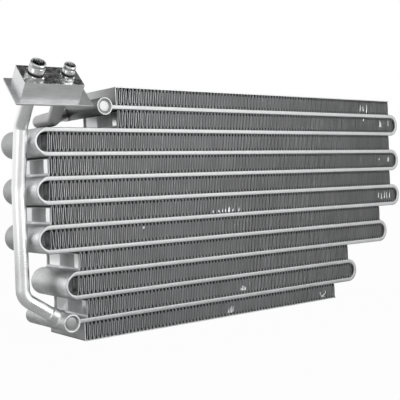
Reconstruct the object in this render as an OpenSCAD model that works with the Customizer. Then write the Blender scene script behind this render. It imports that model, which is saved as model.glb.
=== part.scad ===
// Serpentine evaporator core: one folded flat tube with corrugated fins between its runs,
// two headers, two connection pipes and a tilted connection block with two male fittings.
// The core stands on its bottom side plate. The air goes through it along Y.

/* [Flat tube] */
// Distance between the centres of neighbouring runs of the tube
pitch = 25; // [20:0.5:32]
// Thickness of the flat tube
tube_t = 5; // [3:0.1:7]
// Width of the flat tube, which is the depth of the core
tube_w = 76; // [50:1:110]
// Number of straight runs, an even number
runs = 10; // [10]
// Number of channels inside the tube
ports = 10; // [6:1:20]
// Height of a channel inside the tube
port_h = 3; // [1.5:0.1:4]
// Wall between two channels
port_web = 1.2; // [0.8:0.1:2]

/* [Fins] */
// Length of one wave of the fin sheet
fin_wave = 4.8; // [4:0.1:8]
// Width of the crest that is brazed to the tube
fin_crest = 1.4; // [0.8:0.1:1.8]
// Thickness of the fin sheet
fin_sheet = 0.25; // [0.1:0.05:0.35]
// Height of the first and last fin row, outside the tube
end_fin_h = 18.5; // [15:0.5:25]

/* [Ends of the rows] */
// Left end of the two top rows and of the top side plate
left_top = -144; // [-160:1:-120]
// Centre of the three upper left bends
left_upper = -229; // [-240:1:-215]
// Centre of the lowest left bend
left_low = -200; // [-212:1:-190]
// Left end of the bottom side plate
left_base = -193; // [-200:1:-185]
// Centre of the three upper right bends
right_upper = 321.5; // [300:0.5:340]
// Centre of the fourth right bend
right_mid = 291; // [280:1:300]
// Centre of the lowest right bend
right_low = 223; // [210:1:240]
// Right end of the bottom side plate
right_base = 194.5; // [180:0.5:205]
// How far a row beside an open bend stops before the centre of the bend
row_back = 3; // [1:0.5:8]

/* [Side plates] */
// Thickness of the side plates and of their bent ends
plate_t = 1; // [0.8:0.1:2]

/* [Headers] */
// Outer diameter of both headers
header_d = 19; // [16:0.5:24]
// Wall of the headers
header_wall = 1.6; // [1:0.1:3]
// How far a header reaches past each edge of the flat tube
header_over = 6; // [4:0.5:12]
// Centre of the top header
top_header_x = -161.5; // [-175:0.5:-155]
// Centre of the bottom header
bottom_header_x = -210.5; // [-225:0.5:-205]
// How far the tube reaches past the centre line of a header, towards the core
tube_stop = 4; // [2:0.5:7]
// Thickness of the caps in the header ends
cap_t = 2; // [1:0.5:4]
// How far the caps sit inside the header ends
cap_inset = 1.5; // [0.5:0.5:3]

/* [Suction pipe] */
// Outer diameter of the suction pipe
suction_d = 14.4; // [12:0.1:18]
// Outer diameter of its necked upper end
suction_neck_d = 13.8; // [10:0.1:14.4]
// Wall of both pipes
pipe_wall = 1.2; // [0.8:0.1:2]
// Gap between its vertical run and the upper left bends
suction_gap = 1.3; // [1:0.1:6]
// Outer diameter of the sleeve where it enters the bottom header
sleeve_d = 16.6; // [15:0.1:20]
// Length of that sleeve
sleeve_l = 9; // [6:0.5:14]

/* [Liquid pipe] */
// Outer diameter of the liquid pipe
liquid_d = 14; // [10:0.1:16]

/* [Connection block] */
// Length of the block
block_l = 62.4; // [55:0.2:75]
// Width of the block
block_w = 29.8; // [26:0.2:36]
// Height of the block
block_h = 21.6; // [18:0.2:28]
// Tilt of the block towards the front
block_tilt = 42; // [30:1:50]
// Turn of the block about the vertical
block_turn = -3.9; // [-8:0.1:0]
// Left end of the top front edge of the block, along X
block_x = -268; // [-275:0.5:-262]
// Left end of the top front edge of the block, along Y
block_y = -75.3; // [-80:0.1:-70]
// Height of the left end of the top front edge of the block above the middle of the first run
block_rise = 15.8; // [8:0.1:24]
// Thickness of the flange plate under the block
flange_t = 2; // [1.5:0.1:4]
// Length of the flange plate
flange_l = 82.4; // [70:0.2:90]
// Width of the flange plate
flange_w = 43; // [36:0.2:50]
// How far the flange plate reaches past the left side of the block
flange_left = 5; // [1:0.5:8]
// How far the flange plate reaches past the front of the block
flange_front = 4; // [1:0.5:6]
// Diameter of the tapped hole in the top of the block
tapped_d = 5; // [3:0.5:8]

/* [Fittings] */
// Outer diameter of the suction fitting
suction_fit_d = 15.8; // [14:0.1:20]
// Width across the flats of the suction fitting
suction_hex = 19; // [18:0.5:26]
// Height of the suction fitting above the block
suction_fit_h = 17; // [14:0.5:24]
// Outer diameter of the liquid fitting
liquid_fit_d = 12.6; // [11:0.1:16]
// Width across the flats of the liquid fitting
liquid_hex = 15; // [14:0.5:22]
// Height of the liquid fitting above the block
liquid_fit_h = 15.2; // [12:0.2:20]
// Height of the hexagon of both fittings
hex_h = 4.8; // [4:0.2:8]
// Thickness of the seal at the root of each fitting
seal_t = 1.8; // [1.5:0.1:3]

/* [View] */
// The piece to show

/* [Hidden] */
$fn = 48;
eps = 0.01;
// Sides of a bent pipe and the largest turn between two of its rings
sides = 32;
bend_step = 8;
gap_h = pitch - tube_t;
base_run_z = plate_t + end_fin_h + tube_t / 2;
top_run_z = base_run_z + (runs - 1) * pitch;
core_h = top_run_z + tube_t / 2 + end_fin_h + plate_t;
bend_r = pitch / 2;
header_l = tube_w + 2 * header_over;

// Height of the centre of a run, counted from the top
function run_z(k) = base_run_z + (runs - k) * pitch;
// Left end of a run: a header for the first and the last, a bend for the others
function run_left(k) =
    k == 1 ? top_header_x + tube_stop :
    k == runs ? bottom_header_x + tube_stop :
    k <= 7 ? left_upper : left_low;
// Right end of a run, which is the centre of its right bend
function run_right(k) = k <= 6 ? right_upper : k <= 8 ? right_mid : right_low;
// Ends, lower face and height of a fin row, counted from the top
function row_left(r) =
    r == 1 ? left_top + plate_t :
    r == 2 ? left_top + plate_t :
    r <= 7 ? left_upper + (r % 2 == 0 ? 1 : 0) :
    r == 8 ? left_low + row_back :
    r == 9 ? left_low :
    r == 10 ? left_base + row_back :
    left_base + 1.5 * plate_t;
function row_right(r) =
    r == 11 ? right_base :
    r % 2 == 0 ? run_right(r) - 0.5 :
    r == 1 ? right_upper - row_back :
    r == 3 || r == 5 ? right_upper - row_back :
    r == 7 ? right_mid + row_back - 1 :
    right_low + 0.5;
function row_floor(r) = r == 11 ? plate_t : run_z(r) + tube_t / 2;
function row_h(r) = r == 1 || r == 11 ? end_fin_h : gap_h;

// Axes of the block: along its length, to the back and up, and out of its top
function turn_z(v, a) = [v.x * cos(a) - v.y * sin(a), v.x * sin(a) + v.y * cos(a), v.z];
block_origin = [block_x, block_y, top_run_z + block_rise];
along = turn_z([1, 0, 0], block_turn);
back = turn_z([0, cos(block_tilt), sin(block_tilt)], block_turn);
out = turn_z([0, -sin(block_tilt), cos(block_tilt)], block_turn);
function on_block(a, b, h) = block_origin + along * a + back * b + out * h;

// Places of the fittings and of the tapped hole on the top of the block
suction_a = 13.2;
suction_b = 10.8;
liquid_a = block_l - 15.2;
liquid_b = 12;
tapped_a = 34.5;
tapped_b = 5.8;
socket_depth = 12;
spigot_depth = 6;
suction_spigot_d = 14;
liquid_spigot_d = 11;
// Ways through the block and the fittings, narrower than the root of the groove of the seal
way_wall = 0.9;
suction_way = suction_fit_d - 2 * seal_t - 2 * way_wall;
liquid_way = liquid_fit_d - 2 * seal_t - 2 * way_wall;

// Route of the suction pipe, from the socket in the block to the bottom header
suction_bend_r = 16;
suction_knee_r = 12;
suction_lean_r = 60;
suction_top = on_block(suction_a, suction_b, -block_h + socket_depth);
suction_knee_z = top_run_z - 21.8;
suction_knee = suction_top - out * ((suction_top.z - suction_knee_z) / out.z);
suction_x = left_upper - bend_r - tube_t / 2 - suction_gap - suction_d / 2;
suction_straight = [suction_x, -19.5, top_run_z - 84];
suction_foot = [suction_x, -19.5, base_run_z + 29];
suction_end = [bottom_header_x, 12 - tube_w / 2, base_run_z];
neck_l = 27;
cone_l = 16;
neck_dir = unit(suction_top - suction_knee);
neck_foot = suction_top - neck_dir * neck_l;
cone_foot = neck_foot - neck_dir * cone_l;
// The pipes end this far from the centre line of their headers
plug_stop = 6;
suction_plug = suction_end + unit(suction_foot - suction_end) * plug_stop;

// Route of the liquid pipe, from the socket in the block to the side of the top header
liquid_bend_r = 13;
liquid_rest_z = top_run_z - pitch + tube_t / 2 + liquid_d / 2 + 0.8;
liquid_top = on_block(liquid_a, liquid_b, -block_h + socket_depth);
liquid_drop = (liquid_top.z - liquid_rest_z) / out.z;
liquid_knee = liquid_top - out * liquid_drop;
liquid_turn = [liquid_knee.x, 2, liquid_rest_z];
liquid_end = [top_header_x, tube_w / 2 - 5, top_run_z - 0.5];
liquid_plug = liquid_end + unit(liquid_turn - liquid_end) * plug_stop;

// Cross-section of the flat tube, with full round edges and a row of channels
module tube_outline() {
    side = tube_w - tube_t;
    square([side, tube_t], center = true);
    for (s = [-1, 1]) translate([s * side / 2, 0]) circle(d = tube_t);
}

module tube_section() {
    step = (tube_w - tube_t + port_web) / ports;
    difference() {
        tube_outline();
        for (i = [0:ports - 1])
            translate([(i - (ports - 1) / 2) * step, 0])
                square([step - port_web, port_h], center = true);
    }
}

// A shape drawn across the tube, run along X from x0 to x1
module along_x(x0, x1) {
    translate([x0, 0, 0]) rotate([90, 0, 90]) linear_extrude(x1 - x0) children();
}

// A half turn of the tube about an axis along Y, on the left or the right
module half_turn(x, z, from) {
    translate([x, 0, z]) rotate([90, 0, 0]) rotate([0, 0, from])
        rotate_extrude(angle = 180) translate([bend_r, 0]) rotate([0, 0, 90]) tube_section();
}

module serpentine_tube() {
    color("#c9cbcd") union() {
        for (k = [1:runs])
            translate([0, 0, run_z(k)]) along_x(run_left(k), run_right(k)) tube_section();
        for (k = [1:2:runs - 1])
            half_turn(run_right(k), (run_z(k) + run_z(k + 1)) / 2, -90);
        for (k = [2:2:runs - 2])
            half_turn(run_left(k), (run_z(k) + run_z(k + 1)) / 2, 90);
    }
}

// One corrugated fin sheet: steep legs between crests, folded over the length of its row
module fin_row(r) {
    x0 = row_left(r);
    l = row_right(r) - x0;
    h = row_h(r);
    t = fin_sheet;
    n = round(l / fin_wave);
    w = (l - fin_crest) / n;
    over = [for (i = [0:n]) each [
        [i * w + (i > 0 ? t : 0), t], [i * w + fin_crest - (i < n ? t : 0), t],
        if (i < n) [(i + 0.5) * w, h], if (i < n) [(i + 0.5) * w + fin_crest, h]]];
    under = [for (i = [n:-1:0]) each [
        if (i < n) [(i + 0.5) * w + fin_crest - t, h - t], if (i < n) [(i + 0.5) * w + t, h - t],
        [i * w + fin_crest, 0], [i * w, 0]]];
    color("#8d9093") translate([x0, tube_w / 2 - 0.5, row_floor(r)]) rotate([90, 0, 0])
        linear_extrude(tube_w - 1) polygon(concat(over, under));
}

module fin_row_01() { fin_row(1); }
module fin_row_02() { fin_row(2); }
module fin_row_03() { fin_row(3); }
module fin_row_04() { fin_row(4); }
module fin_row_05() { fin_row(5); }
module fin_row_06() { fin_row(6); }
module fin_row_07() { fin_row(7); }
module fin_row_08() { fin_row(8); }
module fin_row_09() { fin_row(9); }
module fin_row_10() { fin_row(10); }
module fin_row_11() { fin_row(11); }

// Side plate with its left end bent over the end of the fin row
module side_plate(x0, x1) {
    bend = 1.5 * plate_t;
    rotate([90, 0, 0]) translate([0, 0, -tube_w / 2]) linear_extrude(tube_w) difference() {
        union() {
            translate([x0 + bend, 0]) square([x1 - x0 - bend, plate_t]);
            translate([x0, bend]) square([plate_t, end_fin_h + plate_t - bend]);
            translate([x0 + bend, bend]) intersection() {
                circle(r = bend);
                translate([-bend, -bend]) square(bend);
            }
        }
        translate([x0 + bend, bend]) circle(r = bend - plate_t);
    }
}

module top_side_plate() {
    color("#b4b7b9") translate([0, 0, core_h]) mirror([0, 0, 1])
        side_plate(left_top, row_right(1));
}

module bottom_side_plate() {
    color("#b4b7b9") side_plate(left_base, right_base);
}

// Tube along Y with a slot for the flat tube on its right side
module header(x, z) {
    difference() {
        translate([x, header_l / 2, z]) rotate([90, 0, 0]) difference() {
            cylinder(d = header_d, h = header_l);
            translate([0, 0, -1]) cylinder(d = header_d - 2 * header_wall, h = header_l + 2);
        }
        translate([0, 0, z]) along_x(x, x + header_d) tube_outline();
    }
}

module header_cap(x, z, s) {
    translate([x, s * (header_l / 2 - cap_inset - cap_t / 2), z]) rotate([90, 0, 0])
        cylinder(d = header_d - 2 * header_wall, h = cap_t, center = true);
}

module top_header() {
    color("#c3c5c7") difference() {
        header(top_header_x, top_run_z);
        pipe_bore(liquid_turn, liquid_end, liquid_d);
    }
}

module bottom_header() {
    color("#c3c5c7") difference() {
        header(bottom_header_x, base_run_z);
        pipe_bore(suction_foot, suction_end, suction_d);
    }
}

module top_header_front_cap() { color("#e2e3e4") header_cap(top_header_x, top_run_z, -1); }
module top_header_rear_cap() { color("#e2e3e4") header_cap(top_header_x, top_run_z, 1); }
module bottom_header_front_cap() { color("#e2e3e4") header_cap(bottom_header_x, base_run_z, -1); }
module bottom_header_rear_cap() { color("#e2e3e4") header_cap(bottom_header_x, base_run_z, 1); }

// Helpers for a pipe that follows points, with a round bend at each inner point
function unit(v) = v / norm(v);
function frame_z(a) = [[cos(a), -sin(a), 0], [sin(a), cos(a), 0], [0, 0, 1]];
function frame_y(a) = [[cos(a), 0, sin(a)], [0, 1, 0], [-sin(a), 0, cos(a)]];
function frame_to(v) = frame_z(atan2(v.y, v.x)) * frame_y(acos(v.z));
// Turn by the angle a about the axis k
function turn_about(k, a) =
    let (c = cos(a), s = sin(a), t = 1 - c)
    [[t * k.x * k.x + c, t * k.x * k.y - s * k.z, t * k.x * k.z + s * k.y],
     [t * k.x * k.y + s * k.z, t * k.y * k.y + c, t * k.y * k.z - s * k.x],
     [t * k.x * k.z - s * k.y, t * k.y * k.z + s * k.x, t * k.z * k.z + c]];

// Puts children, drawn along +Z, along the direction from a to b, starting at a
module aim(a, b) {
    d = unit(b - a);
    translate(a) rotate([0, acos(d.z), atan2(d.y, d.x)]) children();
}

module pipe_bore(a, b, d) {
    aim(a, b) cylinder(d = d, h = norm(b - a));
}

// Stations of a pipe from point i on: place, frame and diameter of each ring
function stations(p, r, d, frame, i = 1) =
    i == len(p) - 1 ? [[p[i], frame, d[i]]] :
    let (u = unit(p[i] - p[i - 1]), w = unit(p[i + 1] - p[i]), a = acos(min(1, u * w)))
    r[i] == 0 ? concat([[p[i], frame, d[i]]], stations(p, r, d, frame, i + 1)) :
    let (k = unit(cross(u, w)), side = unit(w - u * (u * w)), n = ceil(a / bend_step),
        start = p[i] - u * r[i] * tan(a / 2), centre = start + side * r[i])
    concat([for (s = [0:n]) let (m = turn_about(k, a * s / n))
            [centre + m * (start - centre), m * frame, d[i]]],
        stations(p, r, d, turn_about(k, a) * frame, i + 1));

// Hollow pipe along the points p, with bend radius r[i] and diameter d[i] at each
module bent_pipe(p, r, d) {
    frame = frame_to(unit(p[1] - p[0]));
    rings = concat([[p[0], frame, d[0]]], stations(p, r, d, frame));
    n = len(rings);
    points = [for (q = rings, wall = [0, pipe_wall], j = [0:sides - 1])
        q[0] + q[1] * [cos(j * 360 / sides), sin(j * 360 / sides), 0] * (q[2] / 2 - wall)];
    function at(s, inner, j) = (2 * s + inner) * sides + j % sides;
    faces = [
        for (s = [0:n - 2], j = [0:sides - 1]) each [
            [at(s, 0, j), at(s + 1, 0, j), at(s + 1, 0, j + 1)],
            [at(s, 0, j), at(s + 1, 0, j + 1), at(s, 0, j + 1)],
            [at(s, 1, j), at(s + 1, 1, j + 1), at(s + 1, 1, j)],
            [at(s, 1, j), at(s, 1, j + 1), at(s + 1, 1, j + 1)]],
        for (j = [0:sides - 1]) each [
            [at(0, 0, j), at(0, 0, j + 1), at(0, 1, j + 1)],
            [at(0, 0, j), at(0, 1, j + 1), at(0, 1, j)],
            [at(n - 1, 0, j), at(n - 1, 1, j), at(n - 1, 1, j + 1)],
            [at(n - 1, 0, j), at(n - 1, 1, j + 1), at(n - 1, 0, j + 1)]]];
    polyhedron(points, faces);
}

// The space a header takes, taken off the sleeve so that it sits on the header
module header_solid(x, z) {
    translate([x, header_l / 2, z]) rotate([90, 0, 0]) cylinder(d = header_d, h = header_l);
}

module suction_pipe() {
    color("#d5d7d8") bent_pipe(
        [suction_plug, suction_foot, suction_straight, suction_knee, cone_foot, neck_foot,
            suction_top],
        [0, suction_bend_r, suction_lean_r, suction_knee_r, 0, 0, 0],
        [suction_d, suction_d, suction_d, suction_d, suction_d, suction_neck_d, suction_neck_d]);
}

module suction_sleeve() {
    u = unit(suction_foot - suction_end);
    a = suction_end + u * (header_d / 2 + sleeve_l);
    color("#dfe0e1") difference() {
        pipe_bore(suction_end, a, sleeve_d);
        pipe_bore(suction_end - u, a + u, suction_d);
        header_solid(bottom_header_x, base_run_z);
    }
}

module liquid_pipe() {
    color("#b9bbbd") bent_pipe([liquid_plug, liquid_turn, liquid_knee, liquid_top],
        [0, liquid_bend_r, liquid_bend_r, 0], [liquid_d, liquid_d, liquid_d, liquid_d]);
}

// Puts children into the axes of the block, with the origin on its top at (a, b)
module at_block(a, b, h = 0) {
    translate(on_block(a, b, h)) rotate([0, 0, block_turn]) rotate([block_tilt, 0, 0]) children();
}

module connection_block() {
    color("#a9abad") difference() {
        at_block(0, 0, -block_h) cube([block_l, block_w, block_h]);
        at_block(suction_a, suction_b, -block_h - 1) {
            cylinder(d = suction_neck_d, h = socket_depth + 1);
            cylinder(d = suction_way, h = block_h);
        }
        at_block(suction_a, suction_b, -spigot_depth)
            cylinder(d = suction_spigot_d, h = spigot_depth + 1);
        at_block(liquid_a, liquid_b, -block_h - 1) {
            cylinder(d = liquid_d, h = socket_depth + 1);
            cylinder(d = liquid_way, h = block_h);
        }
        at_block(liquid_a, liquid_b, -spigot_depth)
            cylinder(d = liquid_spigot_d, h = spigot_depth + 1);
        at_block(tapped_a, tapped_b, -12) cylinder(d = tapped_d, h = 13);
    }
}

module flange_plate() {
    r = 1.5;
    color("#9fa1a3") difference() {
        at_block(-flange_left, -flange_front, -block_h - flange_t) {
            translate([r, 0, 0]) cube([flange_l - 2 * r, flange_w, flange_t]);
            translate([0, r, 0]) cube([flange_l, flange_w - 2 * r, flange_t]);
            for (x = [r, flange_l - r], y = [r, flange_w - r])
                translate([x, y, 0]) cylinder(r = r, h = flange_t);
        }
        at_block(suction_a, suction_b, -block_h - flange_t - 1)
            cylinder(d = suction_neck_d, h = flange_t + 2);
        at_block(liquid_a, liquid_b, -block_h - flange_t - 1)
            cylinder(d = liquid_d, h = flange_t + 2);
    }
}

// Male fitting: spigot in the block, hexagon, groove for the seal, neck and mouth
module fitting(d, hex, h, spigot, bore) {
    neck = d - 2 * seal_t;
    difference() {
        union() {
            translate([0, 0, -spigot_depth]) cylinder(d = spigot, h = spigot_depth);
            rotate([0, 0, 30]) cylinder(d = hex / cos(30), h = hex_h, $fn = 6);
            cylinder(d = neck, h = h);
            translate([0, 0, hex_h + seal_t]) cylinder(d = d, h = h - hex_h - seal_t - 0.8);
            translate([0, 0, h - 0.8]) cylinder(d1 = d, d2 = d - 1.6, h = 0.8);
        }
        translate([0, 0, -spigot_depth - 1]) cylinder(d = bore, h = h + spigot_depth + 2);
        translate([0, 0, h - 3]) cylinder(d1 = bore, d2 = bore + 1.6, h = 3 + eps);
    }
}

module suction_fitting() {
    color("#e4e5e6") at_block(suction_a, suction_b)
        fitting(suction_fit_d, suction_hex, suction_fit_h, suction_spigot_d, suction_way);
}

module liquid_fitting() {
    color("#e4e5e6") at_block(liquid_a, liquid_b)
        fitting(liquid_fit_d, liquid_hex, liquid_fit_h, liquid_spigot_d, liquid_way);
}

module seal(d) {
    translate([0, 0, hex_h + seal_t / 2]) rotate_extrude()
        translate([d / 2 - seal_t / 2, 0]) circle(d = seal_t);
}

module suction_seal() {
    color("#1c1c1e") at_block(suction_a, suction_b) seal(suction_fit_d);
}

module liquid_seal() {
    color("#1c1c1e") at_block(liquid_a, liquid_b) seal(liquid_fit_d);
}

serpentine_tube();
fin_row_01();
fin_row_02();
fin_row_03();
fin_row_04();
fin_row_05();
fin_row_06();
fin_row_07();
fin_row_08();
fin_row_09();
fin_row_10();
fin_row_11();
top_side_plate();
bottom_side_plate();
top_header();
bottom_header();
top_header_front_cap();
top_header_rear_cap();
bottom_header_front_cap();
bottom_header_rear_cap();
suction_pipe();
suction_sleeve();
liquid_pipe();
connection_block();
flange_plate();
suction_fitting();
liquid_fitting();
suction_seal();
liquid_seal();
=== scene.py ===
"""Looks of the evaporator core: folded tube, louvred fins, headers, pipes, block and fittings."""

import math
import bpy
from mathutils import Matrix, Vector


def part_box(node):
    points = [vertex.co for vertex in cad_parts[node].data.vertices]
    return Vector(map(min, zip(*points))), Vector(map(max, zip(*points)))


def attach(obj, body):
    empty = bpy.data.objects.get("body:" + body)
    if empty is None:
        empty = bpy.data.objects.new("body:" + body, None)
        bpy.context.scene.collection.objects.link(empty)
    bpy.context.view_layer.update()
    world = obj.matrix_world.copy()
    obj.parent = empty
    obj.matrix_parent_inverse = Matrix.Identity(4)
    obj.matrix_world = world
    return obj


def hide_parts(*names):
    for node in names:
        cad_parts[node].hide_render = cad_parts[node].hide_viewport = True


bl_info = {
    "name": "Evaporator core",
    "version": (1, 0, 0),
    "blender": (4, 5, 0),
    "location": "View3D > Sidebar > Evaporator",
    "description": "Builds the visible pieces of a serpentine evaporator core around its solids",
    "category": "Object",
}

import bmesh
import bpy
import numpy as np
from bpy.props import FloatProperty, FloatVectorProperty, IntProperty, PointerProperty
from mathutils import Matrix

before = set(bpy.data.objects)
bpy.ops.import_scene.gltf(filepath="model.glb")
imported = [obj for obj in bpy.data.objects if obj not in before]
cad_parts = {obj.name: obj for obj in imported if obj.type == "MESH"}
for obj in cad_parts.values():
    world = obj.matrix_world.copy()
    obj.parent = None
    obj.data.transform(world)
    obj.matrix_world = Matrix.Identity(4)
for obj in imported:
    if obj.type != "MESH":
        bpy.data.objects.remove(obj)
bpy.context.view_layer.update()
MM = 0.001
ROWS = [f"fin_row_{r:02d}" for r in range(1, 12)]
RUNS = 10
# Rows that lie inside a left or a right bend of the tube, counted from 0 at the top
LEFT_ROWS, RIGHT_ROWS = (2, 4, 6, 8), (1, 3, 5, 7, 9)
# From the end of a row to the centre of the right bend round it, and half the depth of a fin sheet, in
# millimetres
BEND_GAP, FIN_HALF = 0.47, 37.5
# Camera of the photograph: place in metres, yaw, pitch and roll in degrees, focal length in pixels
CAMERA_PLACE = (-0.6082, -0.768, 0.164)
CAMERA_TURN = (38.23, -1.37, -2.04)
FOCAL_PIXELS, IMAGE_PIXELS, SENSOR = 795.2, 400, 36.0
# Floor disc in millimetres, and the place in metres that the lamps look at
FLOOR_RADIUS, FLOOR_DROP, FLOOR_DEPTH = 7000, 0.3, 20
LAMP_AIM = (0, 0, 0.13)
# Plain strips of a row's end leg, from front to back, in millimetres
STRIPS = ((-33.7, -25.7), (7.3, 30.0))
# Banks of louvres of an ordinary leg and of an end leg: front, rear and number of louvres
BODY_BANKS = ((-33.5, -24, 3), (24, 33.5, 3))
END_BANKS = ((-25, 6.6, 18), (31, 36, 3))
# Bent bits of fin that catch the light, helped by a painted highlight, by row: x, z, length and lean, in
# millimetres
BENT_FINS = {
    0: ((256.2, 257.5, 9, 0.6), (263.4, 256.5, 7, -1.0), (269.5, 256.5, 11, 0.8)),
    1: ((262, 241, 3, 0.5), (297.5, 236, 9, 0.7), (300.5, 235, 7, -0.6), (316, 238, 8, 0.4)),
    3: ((293.9, 186.2, 3, 0.3), (313, 186, 7, 0.8), (316, 185.5, 6, -0.6)),
    5: (
        (290, 135, 7, 0.6),
        (297, 133.5, 8, -0.5),
        (303, 134.5, 9, 0.7),
        (309, 134, 9, -0.6),
        (314.5, 134.5, 8, 0.5),
        (-14, 127.4, 3, 0.5),
        (-4.4, 127.4, 3, -0.4),
        (0.4, 127.6, 3.4, 0.5),
        (5.2, 128, 3.6, 0.6),
        (10, 128, 5, 0.5),
        (12.4, 128.6, 5.5, -0.4),
        (17.2, 128, 3.5, 0.4),
        (26.8, 128, 4.5, 0.4),
    ),
    6: ((-113.7, 114.8, 2.5, 0.5),),
    9: ((25.8, 30.8, 3, 0.5), (28.2, 31.8, 6, 0.6), (30.6, 31.2, 5, 0.4), (33, 30.4, 3, 0.3)),
    10: (
        (173.1, 7.3, 7.6, -9),
        (166, 8.2, 8, 9),
        (4.6, 6.4, 4, 0.5),
        (7, 7.4, 6, 0.6),
        (9.4, 8, 8, 0.6),
        (11.8, 8.6, 7, 0.5),
    ),
}


def node_box(name):
    """Lowest and highest corner of a solid, in millimetres."""
    low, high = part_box(name)
    return np.array(low) / MM, np.array(high) / MM


def unit(v):
    """A vector made one long."""
    return v / np.linalg.norm(v)


# Places of the rows, bends and headers, read from the solids
ROW_BOXES = [node_box(name) for name in ROWS]
TUBE_LOW, TUBE_HIGH = node_box("serpentine_tube")
LEFT_BENDS = [ROW_BOXES[r][0][0] for r in LEFT_ROWS]
RIGHT_BENDS = [ROW_BOXES[r][1][0] + BEND_GAP for r in RIGHT_ROWS]
TOP_HEADER = sum(node_box("top_header")) / 2
BOTTOM_HEADER = sum(node_box("bottom_header")) / 2


class TubeSizes(bpy.types.PropertyGroup):
    """Sizes of the folded flat tube, in millimetres."""

    thickness: FloatProperty(name="Thickness", description="Thickness of the flat tube", default=5.0)
    width: FloatProperty(name="Width", description="Width of the flat tube, front to back", default=76.0)
    stop: FloatProperty(name="Stop", description="Where the tube ends, past a header's centre", default=4.0)
    corner: FloatProperty(name="Corner", description="Radius of the tube's long edges", default=0.9)
    wave: FloatProperty(name="Wave", description="How far the tube's edges wander", default=0.12)
    flare: FloatProperty(name="Flare", description="Rounding of the left bends to the front", default=2.0)


class FinSizes(bpy.types.PropertyGroup):
    """Sizes of the corrugated fin sheets, in millimetres."""

    wave: FloatProperty(name="Wave", description="Length of one wave of the sheet", default=4.8)
    foot: FloatProperty(name="Foot", description="Flat length of the first crest", default=1.4)
    fold: FloatProperty(name="Fold", description="Half width of a fold", default=1.1)
    rise: FloatProperty(name="Rise", description="Height of a fold", default=2.3)
    sheet: FloatProperty(name="Sheet", description="Thickness of the sheet", default=0.24)
    plain: FloatProperty(name="Plain", description="Height of the plain strip at each fold", default=1.2)
    louvre: FloatProperty(name="Louvre", description="How far a louvre stands out", default=0.42)
    scatter: FloatProperty(name="Scatter", description="Uneven spacing of the folds", default=0.08)
    bow: FloatProperty(name="Bow", description="Uneven bow of the legs", default=0.15)
    reach: FloatProperty(name="Reach", description="How far a row reaches into a right bend", default=6.5)
    seed: IntProperty(name="Seed", description="Seed of the uneven spacing", default=7)


class PipeSizes(bpy.types.PropertyGroup):
    """Sizes of the two pipes, in millimetres."""

    suction: FloatProperty(name="Suction", description="Diameter of the suction pipe", default=14.4)
    neck: FloatProperty(name="Neck", description="Diameter of its upper end", default=13.8)
    sleeve: FloatProperty(name="Sleeve", description="Diameter of its sleeve", default=16.6)
    liquid: FloatProperty(name="Liquid", description="Diameter of the liquid pipe", default=14.0)
    plug: FloatProperty(name="Plug", description="From a header's centre line to a pipe's end", default=6.0)
    gap: FloatProperty(name="Gap", description="From the suction pipe to the left bends", default=1.342)
    rest: FloatProperty(name="Rest", description="From the liquid pipe to the run below it", default=0.8)
    low_entry: FloatVectorProperty(name="Low entry", description="On the bottom header", default=(0, -26, 0))
    high_entry: FloatVectorProperty(name="High entry", description="On the top header", default=(0, 33, -0.5))
    upright: FloatProperty(name="Upright", description="Y of the upright suction pipe", default=-19.5)
    foot: FloatProperty(name="Foot", description="From the bottom header up to its foot", default=29.0)
    lean: FloatProperty(name="Lean", description="From the top header down to where it leans", default=84.0)
    knee: FloatProperty(name="Knee", description="From the top header down to its knee", default=21.8)


class BlockSizes(bpy.types.PropertyGroup):
    """Place and size of the connection block and its fittings, in millimetres."""

    corner: FloatVectorProperty(
        name="Corner", description="Left end of the top front edge", default=(-268.0, -75.3, 262.8)
    )
    tilt: FloatProperty(
        name="Tilt", description="Tilt to the front", default=math.radians(42), subtype="ANGLE"
    )
    turn: FloatProperty(
        name="Turn", description="Turn about the vertical", default=math.radians(-3.9), subtype="ANGLE"
    )
    height: FloatProperty(name="Height", description="Height of the block", default=21.6)
    socket: FloatProperty(name="Socket", description="Depth of the pipe sockets", default=12.0)
    suction_at: FloatVectorProperty(
        name="Suction fitting", description="Place on the block's top", size=2, default=(13.2, 10.8)
    )
    liquid_at: FloatVectorProperty(
        name="Liquid fitting", description="Place on the block's top", size=2, default=(47.2, 12.0)
    )


class Colours(bpy.types.PropertyGroup):
    """Base colours of the finishes."""

    tube: FloatVectorProperty(
        name="Tube", description="Brazed flat tube", subtype="COLOR", default=(0.51, 0.513, 0.517)
    )
    fin: FloatVectorProperty(
        name="Fins", description="Fin sheet", subtype="COLOR", default=(0.5, 0.503, 0.507)
    )
    plate: FloatVectorProperty(
        name="Plates", description="Side plates", subtype="COLOR", default=(0.54, 0.543, 0.547)
    )
    pipe: FloatVectorProperty(
        name="Pipes", description="Drawn pipe", subtype="COLOR", default=(0.94, 0.943, 0.947)
    )
    block: FloatVectorProperty(
        name="Block", description="Machined block", subtype="COLOR", default=(0.83, 0.835, 0.84)
    )
    rubber: FloatVectorProperty(
        name="Seals", description="Black rubber", subtype="COLOR", default=(0.016, 0.016, 0.017)
    )


class Value:
    """A shader socket that takes part in plain arithmetic; each operation adds a Math node."""

    def __init__(self, shader, socket):
        self.shader, self.socket = shader, socket

    def _math(self, operation, a, b):
        return self.shader.node("ShaderNodeMath", {"operation": operation}, {0: a, 1: b})

    def __add__(self, other):
        return self._math("ADD", self, other)

    def __sub__(self, other):
        return self._math("SUBTRACT", self, other)

    def __rsub__(self, other):
        return self._math("SUBTRACT", other, self)

    def __mul__(self, other):
        return self._math("MULTIPLY", self, other)

    __radd__ = __add__
    __rmul__ = __mul__

    def at_most(self, other):
        return self._math("MINIMUM", self, other)

    def at_least(self, other):
        return self._math("MAXIMUM", self, other)

    def beside(self, output):
        """Another output of the same node."""
        return Value(self.shader, self.socket.node.outputs[output])


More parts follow.
